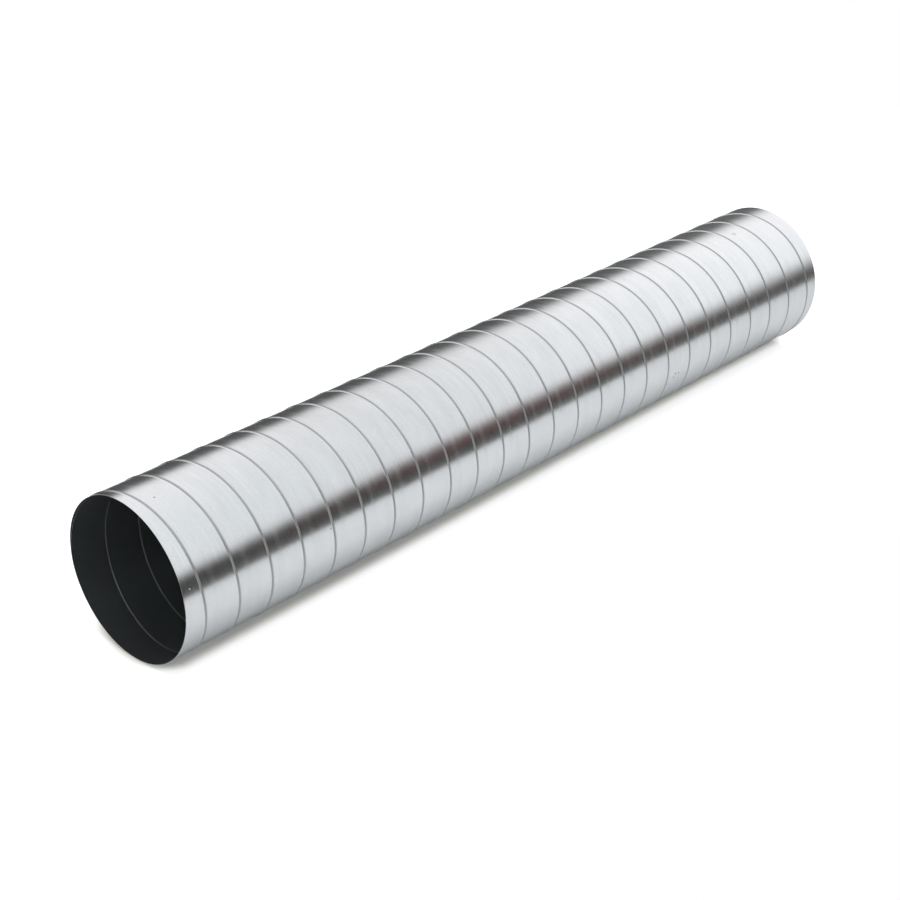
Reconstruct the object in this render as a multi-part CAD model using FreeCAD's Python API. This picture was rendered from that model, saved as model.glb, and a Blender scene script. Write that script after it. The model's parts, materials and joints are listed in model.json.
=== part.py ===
"""Spiral duct section: one strip of galvanised sheet steel, wound into a round tube and held by its own lock seam.

The duct lies along X on the crests of its seam, with the origin under the middle of its length.
"""

import FreeCAD, Part

import os

from FreeCAD import Placement, Rotation, Vector

# Driving dimensions, in millimetres and degrees
bore_diameter = 500.0  # the nominal size, which is the inside diameter
duct_length = 3000.0
sheet_thickness = 0.6
seam_pitch = 120.0  # what one turn of the strip covers once both its edges are folded
seam_plies = 4  # layers of sheet locked together along the seam
seam_crest_width = 6.0  # flat top of the folded seam
seam_joggle_run = 2.0  # slope where the strip steps up over its neighbour, facing the -X end
seam_nose_run = 0.8  # steep folded edge that closes the seam, facing the +X end
seam_start_angle = 343.5  # where the seam meets the -X end, from +Y towards +Z
joint_angle = 2.5  # where the wall's two half shells meet, and each turn of the seam the next, clear of the floor

# The duct is wound along Z and then laid down, which carries an angle from X to one a quarter turn less from Y
QUARTER_TURN = 90

# Sizes that follow from them
bore_radius = bore_diameter / 2
wall_radius = bore_radius + sheet_thickness
crest_radius = wall_radius + (seam_plies - 1) * sheet_thickness
seam_root_radius = bore_radius + sheet_thickness / 2  # the seam starts inside the wall that it grows out of
# The seam starts more than a turn short of the -X end, on the joint line, and ends a turn past the +X end
seam_lead_in = seam_pitch * (1 + (seam_start_angle - joint_angle) % 360 / 360)


def duct_wall():
    """The plain tube along Z from the origin, as two half shells so that no face of it closes on itself."""
    shells = []
    for first_edge in (joint_angle, joint_angle + 180):
        outside = Part.makeCylinder(wall_radius, duct_length, Vector(0, 0, 0), Vector(0, 0, 1), 180)
        bore = Part.makeCylinder(bore_radius, duct_length, Vector(0, 0, 0), Vector(0, 0, 1), 180)
        shell = outside.cut(bore)
        shell.rotate(Vector(0, 0, 0), Vector(0, 0, 1), first_edge + QUARTER_TURN)
        shells.append(shell)
    return shells


def seam_profile(z):
    """Section of the folded seam in the XZ plane, with the middle of its crest at height z."""
    crest_low = z - seam_crest_width / 2
    crest_high = z + seam_crest_width / 2
    # The two flanks run on down from the wall to the seam's root, at their own slopes
    flank_height = crest_radius - wall_radius
    root_share = (crest_radius - seam_root_radius) / flank_height
    corners = [
        Vector(seam_root_radius, 0, crest_low - seam_joggle_run * root_share),
        Vector(crest_radius, 0, crest_low),
        Vector(crest_radius, 0, crest_high),
        Vector(seam_root_radius, 0, crest_high + seam_nose_run * root_share),
    ]
    return Part.makePolygon(corners + corners[:1])


def lock_seam():
    """The seam's section swept along its right-handed helix, sawn off level with both ends of the duct."""
    helix_height = seam_lead_in + duct_length + seam_pitch
    straight_sided = 0.0
    helix = Part.makeLongHelix(seam_pitch, helix_height, wall_radius, straight_sided)
    helix.translate(Vector(0, 0, -seam_lead_in))
    section = seam_profile(-seam_lead_in)
    solid, frenet = True, True
    seam = Part.Wire(helix).makePipeShell([section], solid, frenet)
    seam.rotate(Vector(0, 0, 0), Vector(0, 0, 1), joint_angle + QUARTER_TURN)
    between_the_ends = Part.makeCylinder(2 * crest_radius, duct_length)
    return seam.common(between_the_ends)


def spiral_duct():
    """Wall and seam as the one piece of sheet that they are, laid down along X."""
    duct = lock_seam().multiFuse(duct_wall()).Solids[0]
    along_x = Rotation(Vector(0, 1, 0), QUARTER_TURN)
    duct.Placement = Placement(Vector(-duct_length / 2, 0, crest_radius), along_x)
    return duct


def main():
    os.makedirs("parts", exist_ok=True)
    duct = spiral_duct()
    duct.exportStep("parts/spiral_duct.step")
    box = duct.BoundBox
    print("valid", duct.isValid(), "faces", len(duct.Faces), "volume", round(duct.Volume))
    print("size", round(box.XLength, 2), round(box.YLength, 2), round(box.ZLength, 2))


main()
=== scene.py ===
"""Spiral duct section of galvanised steel strip, lying on a white studio floor."""

import json
import math

import bpy
import numpy as np
from mathutils import Matrix, Vector


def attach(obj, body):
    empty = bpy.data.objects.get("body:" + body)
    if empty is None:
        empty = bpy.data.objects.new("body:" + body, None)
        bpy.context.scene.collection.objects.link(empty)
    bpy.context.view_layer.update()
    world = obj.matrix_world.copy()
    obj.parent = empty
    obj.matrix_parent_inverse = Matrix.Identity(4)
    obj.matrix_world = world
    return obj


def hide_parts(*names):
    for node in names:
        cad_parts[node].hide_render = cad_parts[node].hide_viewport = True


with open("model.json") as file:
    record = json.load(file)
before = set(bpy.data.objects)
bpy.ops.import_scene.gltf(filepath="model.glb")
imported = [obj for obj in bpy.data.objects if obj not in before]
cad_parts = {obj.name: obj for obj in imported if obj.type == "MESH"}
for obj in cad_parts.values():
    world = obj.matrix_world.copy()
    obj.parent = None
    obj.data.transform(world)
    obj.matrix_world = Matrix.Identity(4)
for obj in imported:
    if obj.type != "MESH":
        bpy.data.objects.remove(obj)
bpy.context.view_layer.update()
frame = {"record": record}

# The duct, in metres: its mouth gives the bore, the length and the place of the axis
MOUTH = frame["record"]["mounts"][0]
BORE_RADIUS = MOUTH["dims"]["r_mm"] / 1000
LENGTH = MOUTH["dims"]["length_mm"] / 1000
AXIS_HEIGHT = MOUTH["pos_m"][2]
HALF = LENGTH / 2
SHEET = 0.0006
WALL_RADIUS = BORE_RADIUS + SHEET
GIRTH = 2 * math.pi * WALL_RADIUS
SEAM_PITCH = 0.120
SEAM_START = math.radians(343.5)
TURNS = math.ceil(LENGTH / SEAM_PITCH)

# How finely the strip is divided on its way round, the shortest piece of it that a cut end leaves, and the
# angle between two faces from which their edge looks sharp
ROWS = 112
SNAP = 0.0002
SHARP_ANGLE = math.radians(62)

# The strip in section, from one seam's crevice to the next, in millimetres: first how far along the duct
# from the middle of the seam, then how far out from the wall. Four plies of sheet make the seam: it rises
# over a joggle, has a flat crest and ends in the round nose of the fold.
OUTSIDE = [
    (-116.1, -0.06), (-115.5, 0.0), (-114.0, 0.0), (-104.0, 0.0), (-88.0, 0.0), (-70.0, 0.0), (-52.0, 0.0),
    (-34.0, 0.0), (-18.0, 0.0), (-8.5, 0.0), (-5.6, 0.0), (-4.8, 0.03), (-4.35, 0.16), (-3.95, 0.62),
    (-3.6, 1.16), (-3.2, 1.50), (-2.5, 1.70), (-1.3, 1.79), (0.0, 1.80), (1.4, 1.78), (2.4, 1.66),
    (2.95, 1.40), (3.15, 0.95), (3.3, 0.2), (3.6, -0.28),
]
# Inside there is only the narrow groove where the edge of the next turn is folded in
INSIDE = [
    (-100.0, 0.0), (-62.0, 0.0), (-24.0, 0.0), (-6.2, 0.0), (-5.3, 0.0), (-5.05, 0.3), (-4.7, 0.3),
    (-4.45, 0.0), (-3.5, 0.0),
]
# Shallow waves of the strip between two seams: length along the strip and height, in metres
WAVES = ((0.93, 0.00022), (0.57, 0.00016), (0.31, 0.00009))
STRIP_FROM, STRIP_TO = -0.1164, -0.0050
# How far the inner side is set apart in the strip coordinates, which keeps the marks of the outside off it
INNER_ASIDE = 0.3

# The maps of the mesh. The first holds the strip coordinates that the material uses. The second is for
# textures: the wall unrolled into bands of some turns each, with the seams upright.
# The lower bands hold the inside, the upper ones the outside, and a margin beside them the cut edges.
STRIP_MAP = "strip"
TEXTURE_MAP = "OFBake"
BAND_TURNS = 9
SIDE_BANDS = 3
BAND_HEIGHT = 1 / (2 * SIDE_BANDS)
MAP_MARGIN = 0.004

rng = np.random.default_rng(11)
wave_starts = rng.uniform(0, 2 * math.pi, len(WAVES))


def panel_wave(along, across):
    """How far the strip bulges, which the seams hold round at both its edges."""
    held = np.sin(np.pi * np.clip((across - STRIP_FROM) / (STRIP_TO - STRIP_FROM), 0, 1)) ** 2
    waves = zip(WAVES, wave_starts)
    return held * sum(h * np.sin(2 * np.pi * along / length + start) for (length, h), start in waves)


def up_the_map(band, way_round):
    """Height on the texture map, from the band and how much of a turn a point has gone round the duct."""
    return band * BAND_HEIGHT + MAP_MARGIN + (BAND_HEIGHT - 2 * MAP_MARGIN) * way_round


def wound_skin(section, base, outward, aside):
    """One side of the wall, wound turn by turn and cut square at both ends.

    Gives its points, its faces, a place for each corner of them and the points on the -X and the +X edge.
    A place has the distance across the strip from the middle of its seam, set aside for the inner skin,
    the distance along the strip, and then the two coordinates of the texture map.
    """
    across = np.array([s for s, _ in section]) / 1000
    rise = np.array([h for _, h in section]) / 1000
    windings = np.arange(-1, TURNS + 2)
    turns = np.repeat(windings, len(across))
    row = np.arange(ROWS + 1)[:, None]
    wound = turns + row / ROWS
    seam = -HALF + SEAM_PITCH * wound
    x = seam + np.tile(across, len(windings))
    x = np.where(x < -HALF + SNAP, -HALF, np.where(x > HALF - SNAP, HALF, x))

    # Where the strip is cut off, the edge has the height of the section just there
    local = (x - seam - across[0]) % SEAM_PITCH
    ring = np.append(across, across[0] + SEAM_PITCH) - across[0]
    radius = base + np.interp(local, ring, np.append(rise, rise[0]))
    radius += panel_wave(wound * GIRTH, local + across[0])
    angle = SEAM_START + 2 * math.pi * row / ROWS
    points = np.stack([x, radius * np.cos(angle), AXIS_HEIGHT + radius * np.sin(angle)], -1)

    # All that lies beyond a cut is one point of its edge, and the last row is the first row of the next turn
    columns = len(turns)
    lowest = (x <= -HALF).sum(1, keepdims=True) - 1
    highest = columns - (x >= HALF).sum(1, keepdims=True)
    number = row * columns + np.clip(np.arange(columns), lowest, highest)
    after = np.minimum(np.arange(columns) + len(across), columns - 1)
    number[ROWS] = number[0, after]

    def corners(left, right):
        return np.stack([left[:-1], left[1:], right[1:], right[:-1]], -1).reshape(-1, 4)

    u = corners((x - seam)[:, :-1] + aside, x[:, 1:] - seam[:, :-1] + aside)
    v = corners(wound[:, :-1] * GIRTH, wound[:, :-1] * GIRTH)
    band = (turns[:-1] - windings[0]) // BAND_TURNS
    band_start = band * BAND_TURNS + windings[0] + across[0] / SEAM_PITCH
    unrolled = (x + HALF) / SEAM_PITCH - row / ROWS
    s = corners(unrolled[:, :-1] - band_start, unrolled[:, 1:] - band_start) / BAND_TURNS
    t = up_the_map(band + SIDE_BANDS * outward, row / ROWS)
    map_places = MAP_MARGIN + (1 - 2 * MAP_MARGIN) * s, corners(t, t)

    # A face beside a cut has lost a corner, and one beyond it has lost two
    faces, places = [], []
    quads = corners(number[:, :-1], number[:, 1:])
    for quad, place in zip(quads.tolist(), np.stack([u, v, *map_places], -1).tolist()):
        corner = [k for k in range(4) if quad[k] != quad[k - 1]]
        if len(corner) < 3:
            continue
        corner = corner if outward else corner[::-1]
        faces.append([quad[k] for k in corner])
        places.append([place[k] for k in corner])
    edges = number[:ROWS, 0], number[:ROWS, -1]
    return points.reshape(-1, 3), faces, places, edges


def build_duct():
    """The wall's two skins and the thin cut edges at the mouths, as one closed mesh."""
    points, faces, places, outer_edges = wound_skin(OUTSIDE, WALL_RADIUS, True, 0.0)
    inner, inner_faces, inner_places, inner_edges = wound_skin(INSIDE, BORE_RADIUS, False, INNER_ASIDE)
    shift = len(points)
    faces += [[p + shift for p in face] for face in inner_faces]
    places += inner_places
    for outer, bore, at_far_end in zip(outer_edges, inner_edges, (False, True)):
        for i in range(ROWS):
            k = (i + 1) % ROWS
            face = [int(outer[i]), int(bore[i]) + shift, int(bore[k]) + shift, int(outer[k])]
            start, end = [(GIRTH * r / ROWS, up_the_map(at_far_end, r / ROWS)) for r in (i, i + 1)]
            rim, bore_side = (STRIP_TO, MAP_MARGIN / 2), (STRIP_TO - SHEET, 0.0)
            ways = (rim, start), (bore_side, start), (bore_side, end), (rim, end)
            place = [(across, along, s, t) for (across, s), (along, t) in ways]
            faces.append(face[::-1] if at_far_end else face)
            places.append(place[::-1] if at_far_end else place)

    # Only the points that faces use are kept
    used, renumbered = np.unique(np.concatenate([np.array(f) for f in faces]), return_inverse=True)
    points = np.concatenate([points, inner])[used]
    ends = np.cumsum([len(f) for f in faces])
    faces = [part.tolist() for part in np.split(renumbered, ends[:-1])]

    mesh = bpy.data.meshes.new("spiral_duct_strip")
    mesh.from_pydata(points.tolist(), [], faces)
    laid = np.array([corner for place in places for corner in place], np.float32)
    for name, coordinates in ((STRIP_MAP, laid[:, :2]), (TEXTURE_MAP, laid[:, 2:])):
        mesh.uv_layers.new(name=name).data.foreach_set("uv", coordinates.ravel())
    mesh.shade_smooth()
    mesh.set_sharp_from_angle(angle=SHARP_ANGLE)
    duct = bpy.data.objects.new("spiral_duct_strip", mesh)
    bpy.context.scene.collection.objects.link(duct)
    return duct


class Graph:
    """A node tree being wired: each call adds a node and gives back its output."""

    def __init__(self, tree):
        self.tree = tree
        tree.nodes.clear()

    def add(self, kind, **settings):
        node = self.tree.nodes.new(kind)
        for name, value in settings.items():
            setattr(node, name, value)
        return node

    def put(self, socket, value):
        if isinstance(value, bpy.types.NodeSocket):
            self.tree.links.new(value, socket)
        else:
            socket.default_value = value

    def fill(self, node, *values):
        for socket, value in zip(node.inputs, values):
            self.put(socket, value)
        return node.outputs[0]

    def math(self, operation, a, b=0.0, c=0.0):
        return self.fill(self.add("ShaderNodeMath", operation=operation), a, b, c)

    def span(self, value, lo, hi, to_lo=0.0, to_hi=1.0):
        """A smooth step from one value to another while the input goes from lo to hi."""
        node = self.add("ShaderNodeMapRange", interpolation_type="SMOOTHSTEP")
        return self.fill(node, value, lo, hi, to_lo, to_hi)

    def xyz(self, x, y, z=0.0):
        return self.fill(self.add("ShaderNodeCombineXYZ"), x, y, z)

    def split(self, vector):
        node = self.add("ShaderNodeSeparateXYZ")
        self.put(node.inputs[0], vector)
        return node.outputs

    def between(self, factor, a, b):
        node = self.add("ShaderNodeMix", data_type="FLOAT")
        for socket, value in zip((node.inputs[0], node.inputs[2], node.inputs[3]), (factor, a, b)):
            self.put(socket, value)
        return node.outputs[0]

    def mix(self, factor, a, b):
        node = self.add("ShaderNodeMix", data_type="RGBA")
        for socket, value in zip((node.inputs[0], node.inputs[6], node.inputs[7]), (factor, a, b)):
            self.put(socket, value)
        return node.outputs[2]

    def noise(self, vector, detail, rough):
        node = self.add("ShaderNodeTexNoise")
        self.put(node.inputs["Vector"], vector)
        node.inputs["Scale"].default_value = 1.0
        node.inputs["Detail"].default_value = detail
        node.inputs["Roughness"].default_value = rough
        return node.outputs["Fac"]

    def near(self, value, middle, inner, outer):
        """1 within a distance of a value, falling to 0 further out."""
        return self.span(self.math("ABSOLUTE", self.math("SUBTRACT", value, middle)), inner, outer, 1.0, 0.0)


# Patterns on the steel: how many there are to a metre across and along the strip, which slice of the noise
# is taken, and the noise's detail and roughness. The spangles of the zinc are the same size both ways.
FINE_LINES = (1300.0, 7.0, 0.0, 2.0, 0.5)
BROAD_LINES = (230.0, 1.8, 4.0, 3.0, 0.6)
CLOUDS = (24.0, 8.0, 9.0, 4.0, 0.6)
SPANGLES = 230.0

# Lines along the strip, in metres: place across it, how far to each side the line is full and where it ends
DULL_LINE = (-0.079, 0.002, 0.014)
SEAM_FACE = (0.0002, 0.0034, 0.0044)
# Painted shade in the crevice at the foot of the fold's nose
CREVICE = (0.0037, 0.0002, 0.0009)
# Painted shade on the strip just behind the fold
FOLD_SHADE_LINE = (-0.1163, 0.0008, 0.0050)
GROOVE = (INNER_ASIDE - 0.0049, 0.0008, 0.0016)

# How much the plain strip reflects, what each pattern adds to that, and what share the painted shade on the
# strip behind the fold and the groove take away. The seam keeps a share of the strip's tone and has its own
# fine lines.
PLAIN_TONE = 0.59
CLOUD_TONE = 0.14
BROAD_TONE = 0.13
GRAIN_TONE = 0.03
FINE_TONE = 0.06
SEAM_TONE = 0.48
SEAM_FINE_TONE = 0.16
FOLD_SHADE_SHARE = 0.2
GROOVE_SHADE = 0.5

# How rough the plain strip is, what each pattern adds to that, and how rough the inside, its groove and the
# seam are
PLAIN_ROUGH = 0.16
BROAD_ROUGH = 0.05
CLOUD_ROUGH = 0.05
DULL_ROUGH = 0.03
INNER_ROUGH = 0.25
GROOVE_ROUGH = 0.38
SEAM_ROUGH = 0.50

# Small marks of handling: place along the duct, angle from +Y towards +Z, radius and how light it is
MARKS = (
    (-1.420, 101.3, 0.0036, 0.22),
    (-1.474, 165.0, 0.0024, 0.95),
    (-0.967, 172.0, 0.0032, 0.30),
    (0.656, 191.2, 0.0048, 0.22),
    (0.675, 192.3, 0.0040, 0.40),
    (0.651, 194.7, 0.0042, 0.35),
    (1.232, 102.7, 0.0110, 0.82),
)
# The share of a mark's radius over which it is full, how much of the metal it covers and how rough it is
MARK_CORE = 0.4
MARK_COVER = 0.85
MARK_ROUGH = 0.7

# The tint of the zinc, the near-black painted shade in the crevice and how much of it that covers, and the
# relief of the clouds
ZINC = (0.957, 1.0, 1.026)
CREVICE_SHADE_COLOUR = (0.07, 0.07, 0.07, 1.0)
CREVICE_SHADE_COVER = 0.7
RELIEF_STRENGTH = 0.15
RELIEF_DEPTH = 0.001


def galvanised_steel():
    """Zinc-coated strip with rolling lines along it, soft clouds and seams that the rollers left dull."""
    mat = bpy.data.materials.new("galvanised_steel")
    mat.use_nodes = True
    g = Graph(mat.node_tree)
    u, v, _ = g.split(g.add("ShaderNodeUVMap", uv_map=STRIP_MAP).outputs[0])

    def pattern(per_metre_across, per_metre_along, layer, detail, rough):
        spread = g.xyz(g.math("MULTIPLY", u, per_metre_across), g.math("MULTIPLY", v, per_metre_along), layer)
        return g.noise(spread, detail, rough)

    fine = pattern(*FINE_LINES)
    broad = pattern(*BROAD_LINES)
    cloud = pattern(*CLOUDS)
    spangle = g.add("ShaderNodeTexVoronoi", feature="F1")
    g.put(spangle.inputs["Vector"], g.xyz(u, v))
    spangle.inputs["Scale"].default_value = SPANGLES
    grain = g.split(spangle.outputs["Color"])[0]

    # A dull line along the strip, the matt seam, painted shade in the crevice beside its fold and a lighter
    #     # painted shade on the strip behind that
    dull_line = g.near(u, *DULL_LINE)
    seam = g.near(u, *SEAM_FACE)
    crevice = g.near(u, *CREVICE)
    fold_shade = g.near(u, *FOLD_SHADE_LINE)
    # Inside, the strip is evenly smooth but for the dull, dark line of the groove
    inner = g.math("GREATER_THAN", u, INNER_ASIDE / 2)
    groove = g.near(u, *GROOVE)

    tone = g.math("MULTIPLY_ADD", cloud, CLOUD_TONE, PLAIN_TONE)
    tone = g.math("MULTIPLY_ADD", broad, BROAD_TONE, tone)
    tone = g.math("MULTIPLY_ADD", grain, GRAIN_TONE, tone)
    tone = g.math("MULTIPLY_ADD", fine, FINE_TONE, tone)
    seam_tone = g.math("MULTIPLY_ADD", fine, SEAM_FINE_TONE, g.math("MULTIPLY", tone, SEAM_TONE))
    tone = g.between(seam, tone, seam_tone)
    # Painted shade darkens the strip just behind the fold
    tone = g.math("MULTIPLY", tone, g.math("MULTIPLY_ADD", fold_shade, -FOLD_SHADE_SHARE, 1.0))
    tone = g.math("MULTIPLY", tone, g.math("MULTIPLY_ADD", groove, -GROOVE_SHADE, 1.0))
    rough = g.math("MULTIPLY_ADD", broad, BROAD_ROUGH, PLAIN_ROUGH)
    rough = g.math("MULTIPLY_ADD", cloud, CLOUD_ROUGH, rough)
    rough = g.math("MULTIPLY_ADD", dull_line, DULL_ROUGH, rough)
    rough = g.between(inner, rough, g.between(groove, INNER_ROUGH, GROOVE_ROUGH))
    rough = g.between(seam, rough, SEAM_ROUGH)

    # Specks and nicks from handling, with edges that the fine lines make ragged
    place = g.add("ShaderNodeTexCoord").outputs["Object"]
    uneven = g.math("SUBTRACT", fine, 0.5)
    for x, degrees, radius, mark_tone in MARKS:
        a = math.radians(degrees)
        centre = (x, WALL_RADIUS * math.cos(a), AXIS_HEIGHT + WALL_RADIUS * math.sin(a))
        apart = g.add("ShaderNodeVectorMath", operation="DISTANCE")
        g.fill(apart, place, centre)
        ragged = g.math("MULTIPLY_ADD", uneven, radius, apart.outputs["Value"])
        mark = g.span(ragged, MARK_CORE * radius, radius, 1.0, 0.0)
        tone = g.between(g.math("MULTIPLY", mark, MARK_COVER), tone, mark_tone)
        rough = g.between(mark, rough, MARK_ROUGH)

    tint = g.add("ShaderNodeVectorMath", operation="SCALE")
    tint.inputs[0].default_value = ZINC
    g.put(tint.inputs["Scale"], tone)
    # The crevice beside the fold is painted near black, as the shade that falls in it
    colour = g.mix(g.math("MULTIPLY", crevice, CREVICE_SHADE_COVER), tint.outputs[0], CREVICE_SHADE_COLOUR)

    bump = g.add("ShaderNodeBump")
    bump.inputs["Strength"].default_value = RELIEF_STRENGTH
    bump.inputs["Distance"].default_value = RELIEF_DEPTH
    g.put(bump.inputs["Height"], cloud)
    bsdf = g.add("ShaderNodeBsdfPrincipled")
    bsdf.inputs["Metallic"].default_value = 1.0
    g.put(bsdf.inputs["Base Color"], colour)
    g.put(bsdf.inputs["Roughness"], rough)
    g.put(bsdf.inputs["Normal"], bump.outputs[0])
    g.put(g.add("ShaderNodeOutputMaterial").inputs["Surface"], bsdf.outputs[0])
    return mat


# The floor, which ends beside the duct, and how far it is lifted to white where the camera sees it
WHITE = (1.0, 1.0, 1.0, 1.0)
FLOOR_X = (-3.4, 4.4)
FLOOR_Y = (-1.21, 1.42)
FLOOR_COLOUR = (0.86, 0.86, 0.86, 1.0)
FLOOR_LIFT = 0.64
# The lift is least in the duct's shadow, first at its near and then at its far end, and a little warm
# there, so its shape and warmth paint the shadow that the camera sees on the floor. Distances are in metres
# from the middle line of the painted shadow, which lies a little towards +X, reaches further behind the duct
# and narrows from one place along X to another.
SHADOW_LIFT = (0.105, 0.155)
PAINTED_SHADOW_TINT = (1.0, 1.0, 0.84, 1.0)
SHADOW_REACH = (0.11, 0.16)
SHADOW_SHIFT = 0.035
SHADOW_HALF = HALF - 0.05
SHADOW_TAPER = 1.43
SHADOW_BEHIND = 0.58
SHADOW_NARROWS = 0.022
SHADOW_CHANGE = (-1.0, 1.3)


def studio_floor():
    """White floor with the duct's shadow, lifted to white for the camera but least close by the duct, which
    paints the shadow's shape.
    """
    (x0, x1), (y0, y1) = FLOOR_X, FLOOR_Y
    mesh = bpy.data.meshes.new("floor")
    mesh.from_pydata([(x0, y0, 0), (x1, y0, 0), (x1, y1, 0), (x0, y1, 0)], [], [(0, 1, 2, 3)])
    floor = bpy.data.objects.new("floor", mesh)
    bpy.context.scene.collection.objects.link(floor)
    mat = bpy.data.materials.new("floor_white")
    mat.use_nodes = True
    g = Graph(mat.node_tree)
    paint = g.add("ShaderNodeBsdfDiffuse")
    paint.inputs["Color"].default_value = FLOOR_COLOUR
    lift = g.add("ShaderNodeEmission")
    seen = g.add("ShaderNodeLightPath").outputs["Is Camera Ray"]
    x, y, _ = g.split(g.add("ShaderNodeTexCoord").outputs["Object"])
    along = g.math("ABSOLUTE", g.math("SUBTRACT", x, SHADOW_SHIFT))
    past_end = g.math("MAXIMUM", g.math("SUBTRACT", along, SHADOW_HALF), 0.0)
    aside = g.math("MAXIMUM", g.math("MULTIPLY", y, -1.0), g.math("MULTIPLY", y, SHADOW_BEHIND))
    away = g.add("ShaderNodeVectorMath", operation="LENGTH")
    g.put(away.inputs[0], g.xyz(g.math("MULTIPLY", past_end, SHADOW_TAPER), aside))
    far = g.span(x, *SHADOW_CHANGE)
    reach = g.math("MULTIPLY_ADD", far, SHADOW_NARROWS, away.outputs["Value"])
    lit = g.span(reach, *SHADOW_REACH)
    strength = g.between(lit, g.between(far, *SHADOW_LIFT), FLOOR_LIFT)
    # The shadow's warm tint is painted into the lift
    g.put(lift.inputs["Color"], g.mix(lit, PAINTED_SHADOW_TINT, WHITE))
    g.put(lift.inputs["Strength"], g.math("MULTIPLY", seen, strength))
    both = g.fill(g.add("ShaderNodeAddShader"), paint.outputs[0], lift.outputs[0])
    g.put(g.add("ShaderNodeOutputMaterial").inputs["Surface"], both)
    mesh.materials.append(mat)


# What the metal mirrors: a bright ceiling above dim walls. X, Y and Z are those of the direction looked in.
# A step has the two values of one of them between which it goes, and then what it goes from and to, which is
# 0 and 1 if not given. First come the height of the ceiling's edge, in front of the duct and behind it, and
# half the width over which it fades.
BEHIND_BY_Y = (-0.15, 0.15)
FRONT_EDGE_BY_X = (0.52, 0.62, 0.18, 0.22)
FRONT_EDGE_DROP_BY_X = (0.65, 0.76, 0.0, 0.08)
BACK_EDGE_BY_X = (0.61, 0.71, 0.335, 0.412)
BACK_EDGE_DROP_BY_X = (0.72, 0.78, 0.0, 0.04)
FRONT_FADE_BY_X = (0.70, 0.78, 0.11, 0.19)
BACK_FADE = 0.135
# The brown wall in front, opposite the middle of the duct, and the grey one on both sides of it and below it
BROWN = (0.112, 0.034, 0.029, 1.0)
BROWN_START_BY_X = (0.585, 0.64)
BROWN_END_BY_X = (0.69, 0.75, 1.0, 0.0)
BROWN_FOOT_BY_Z = (-0.08, 0.03)
GREY_BY_X = (0.70, 0.80, 0.034, 0.073)
GREY_FOOT_BY_Z = (-0.14, 0.04, 0.03, 0.0)
GREY_RED, GREY_BLUE = 1.06, 0.90
# The wall behind
BACK_WALL_BY_X = (0.68, 0.78, 0.088, 0.13)
BACK_WALL_BLUE = 0.97
# The ceiling's light, which is least over the middle of the duct and grows to the back, and its red
CEILING_BY_X = (0.50, 0.62, 1.05, 0.87)
CEILING_FAR_BY_X = (0.66, 0.74, 0.0, 0.32)
CEILING_BACK = 0.08
CEILING_RED_BY_Y = (-0.3, 0.4, 1.0, 1.025)
CEILING_RED_BY_X = (0.69, 0.77, 0.0, 0.02)
# The share of this light that falls on what isn't a mirror
DIFFUSE_SHARE = 0.6


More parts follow.
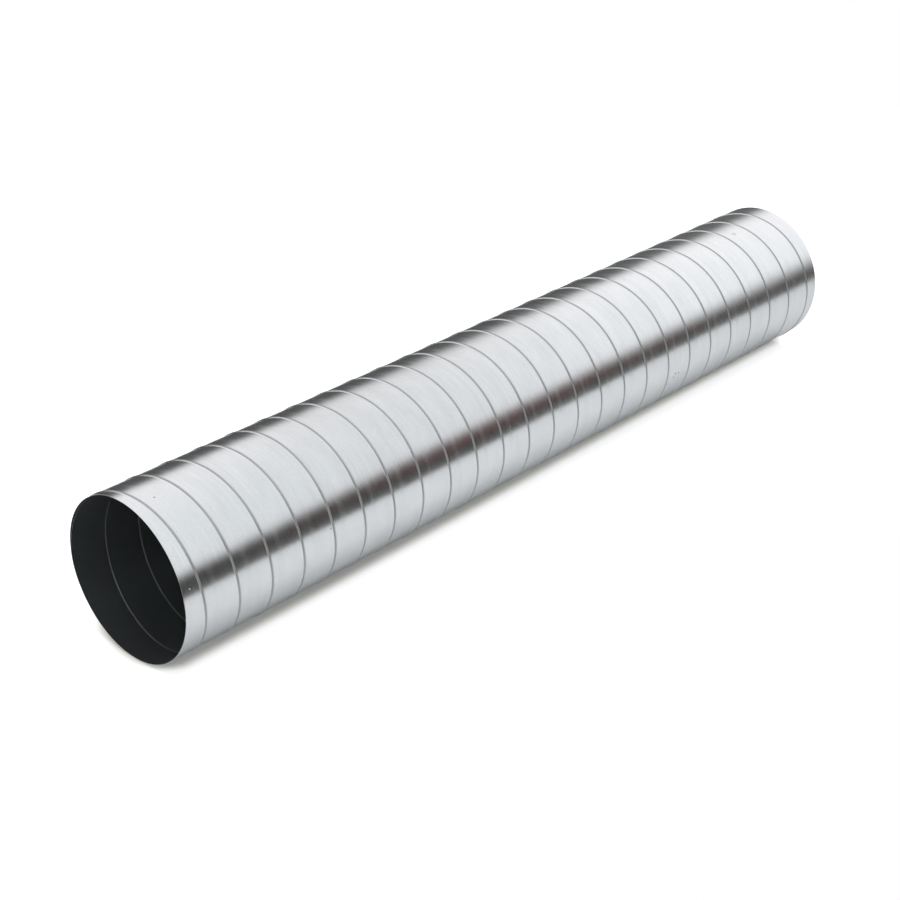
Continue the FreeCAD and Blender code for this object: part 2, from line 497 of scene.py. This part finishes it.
def studio_world():
    """Light from above a soft edge, dim walls below it, and plain white for the camera."""
    world = bpy.data.worlds.new("studio")
    bpy.context.scene.world = world
    world.use_nodes = True
    g = Graph(world.node_tree)
    x, y, z = g.split(g.add("ShaderNodeTexCoord").outputs["Generated"])
    back = g.span(y, *BEHIND_BY_Y)
    front_edge = g.math("SUBTRACT", g.span(x, *FRONT_EDGE_BY_X), g.span(x, *FRONT_EDGE_DROP_BY_X))
    back_edge = g.math("SUBTRACT", g.span(x, *BACK_EDGE_BY_X), g.span(x, *BACK_EDGE_DROP_BY_X))
    edge = g.between(back, front_edge, back_edge)
    fade = g.between(back, g.span(x, *FRONT_FADE_BY_X), BACK_FADE)
    above = g.span(g.math("DIVIDE", g.math("SUBTRACT", z, edge), fade), -1.0, 1.0)

    brown = g.math("MULTIPLY", g.span(x, *BROWN_START_BY_X), g.span(x, *BROWN_END_BY_X))
    brown = g.math("MULTIPLY", brown, g.span(z, *BROWN_FOOT_BY_Z))
    grey = g.math("ADD", g.span(x, *GREY_BY_X), g.span(z, *GREY_FOOT_BY_Z))
    grey_wall = g.xyz(g.math("MULTIPLY", grey, GREY_RED), grey, g.math("MULTIPLY", grey, GREY_BLUE))
    front_wall = g.mix(brown, grey_wall, BROWN)
    pale = g.span(x, *BACK_WALL_BY_X)
    walls = g.mix(back, front_wall, g.xyz(pale, pale, g.math("MULTIPLY", pale, BACK_WALL_BLUE)))

    level = g.math("ADD", g.span(x, *CEILING_BY_X), g.span(x, *CEILING_FAR_BY_X))
    level = g.math("MULTIPLY", level, g.math("MULTIPLY_ADD", y, CEILING_BACK, 1.0))
    red = g.math("ADD", g.span(y, *CEILING_RED_BY_Y), g.span(x, *CEILING_RED_BY_X))
    ceiling = g.xyz(g.math("MULTIPLY", level, red), level, level)

    ray = g.add("ShaderNodeLightPath").outputs
    light = g.add("ShaderNodeBackground")
    g.put(light.inputs["Color"], g.mix(above, walls, ceiling))
    g.put(light.inputs["Strength"], g.between(ray["Is Glossy Ray"], DIFFUSE_SHARE, 1.0))
    white = g.add("ShaderNodeBackground")
    white.inputs["Color"].default_value = WHITE
    pick = g.fill(g.add("ShaderNodeMixShader"), ray["Is Camera Ray"], light.outputs[0], white.outputs[0])
    g.put(g.add("ShaderNodeOutputWorld").inputs["Surface"], pick)


# The lamp overhead, in metres and watts
LAMP_SIZE = (6.0, 4.0)
LAMP_PLACE = (0.0, -0.5, 4.0)
LAMP_POWER = 108.0


def studio_lamp():
    """A wide soft lamp overhead, which gives the duct its shadow and which the metal doesn't mirror."""
    data = bpy.data.lights.new("overhead", "AREA")
    data.shape = "RECTANGLE"
    data.size, data.size_y = LAMP_SIZE
    data.energy = LAMP_POWER
    lamp = bpy.data.objects.new("overhead", data)
    lamp.location = LAMP_PLACE
    lamp.visible_glossy = False
    lamp.visible_camera = False
    bpy.context.scene.collection.objects.link(lamp)


# The camera off the duct's near end: its place in metres, angles in radians, lens and sensor in millimetres
CAMERA_PLACE = (-4.0095, -3.5434, 2.908)
CAMERA_YAW = 0.75035
CAMERA_PITCH = -0.48733
CAMERA_LENS = 73.483
CAMERA_SENSOR = 36.0


def photo_camera():
    """The photograph's view, looking down along the duct with no roll."""
    level = math.cos(CAMERA_PITCH)
    forward = Vector((math.cos(CAMERA_YAW) * level, math.sin(CAMERA_YAW) * level, math.sin(CAMERA_PITCH)))
    right = forward.cross(Vector((0, 0, 1))).normalized()
    turn = Matrix((right, right.cross(forward), -forward)).transposed()
    data = bpy.data.cameras.new("camera")
    data.sensor_width = CAMERA_SENSOR
    data.lens = CAMERA_LENS
    camera = bpy.data.objects.new("camera", data)
    camera.matrix_world = Matrix.Translation(CAMERA_PLACE) @ turn.to_4x4()
    bpy.context.scene.collection.objects.link(camera)
    bpy.context.scene.camera = camera


duct = build_duct()
duct.data.materials.append(galvanised_steel())
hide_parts("spiral_duct")
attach(duct, "root")
studio_floor()
studio_world()
studio_lamp()
photo_camera()
bpy.context.scene.view_settings.view_transform = "Standard"
